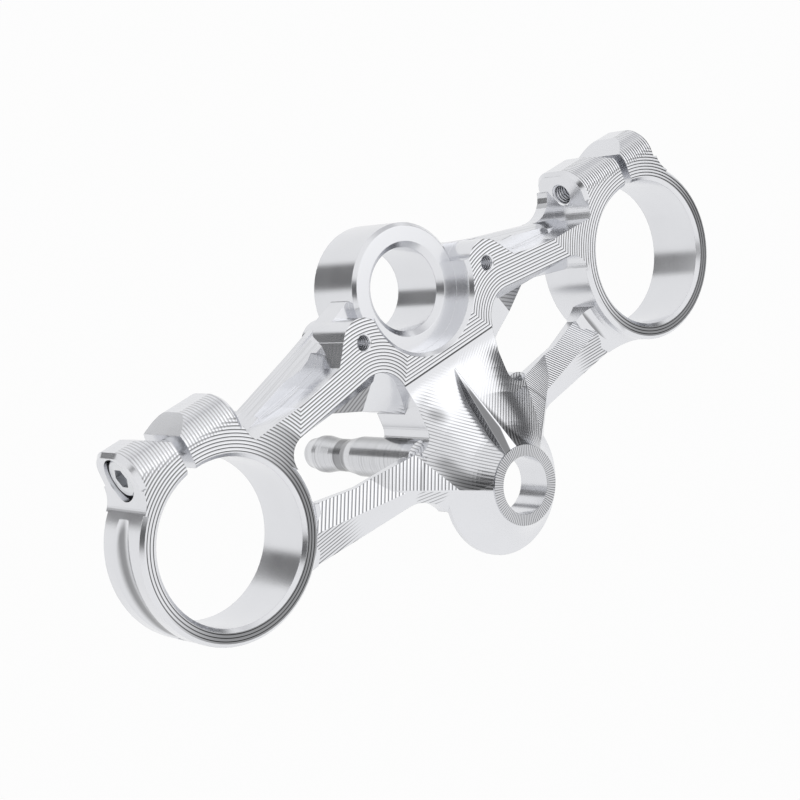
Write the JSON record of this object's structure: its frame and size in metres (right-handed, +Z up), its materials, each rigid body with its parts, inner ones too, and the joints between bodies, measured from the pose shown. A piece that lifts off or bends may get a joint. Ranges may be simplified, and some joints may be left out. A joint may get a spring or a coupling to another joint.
{
  "type": "motorcycle triple clamp",
  "caption": "Machined aluminium upper triple clamp of a motorcycle fork: two split fork clamps with pinch bolts, a stem tower and a raised nose with a lock eye on posts.",
  "frame": {"origin": "steering axis at the underside of the clamp plate", "axes": "+X along the clamp through both fork clamps, +Y from the nose toward the pinch ears and the stem, +Z up along the steering axis, out of the machined top face"},
  "size_m": [0.2752, 0.1244, 0.081],
  "materials": {
    "machined_aluminium": "bright machined, with fine tool ridges",
    "bolt_steel": "satin",
    "turned_aluminium": "turned, bright"
  },
  "bodies": {
    "root": {"clamp_body": "machined_aluminium", "pinch_bolts": "bolt_steel", "lock_posts": "turned_aluminium"}
  },
  "joints": []
}
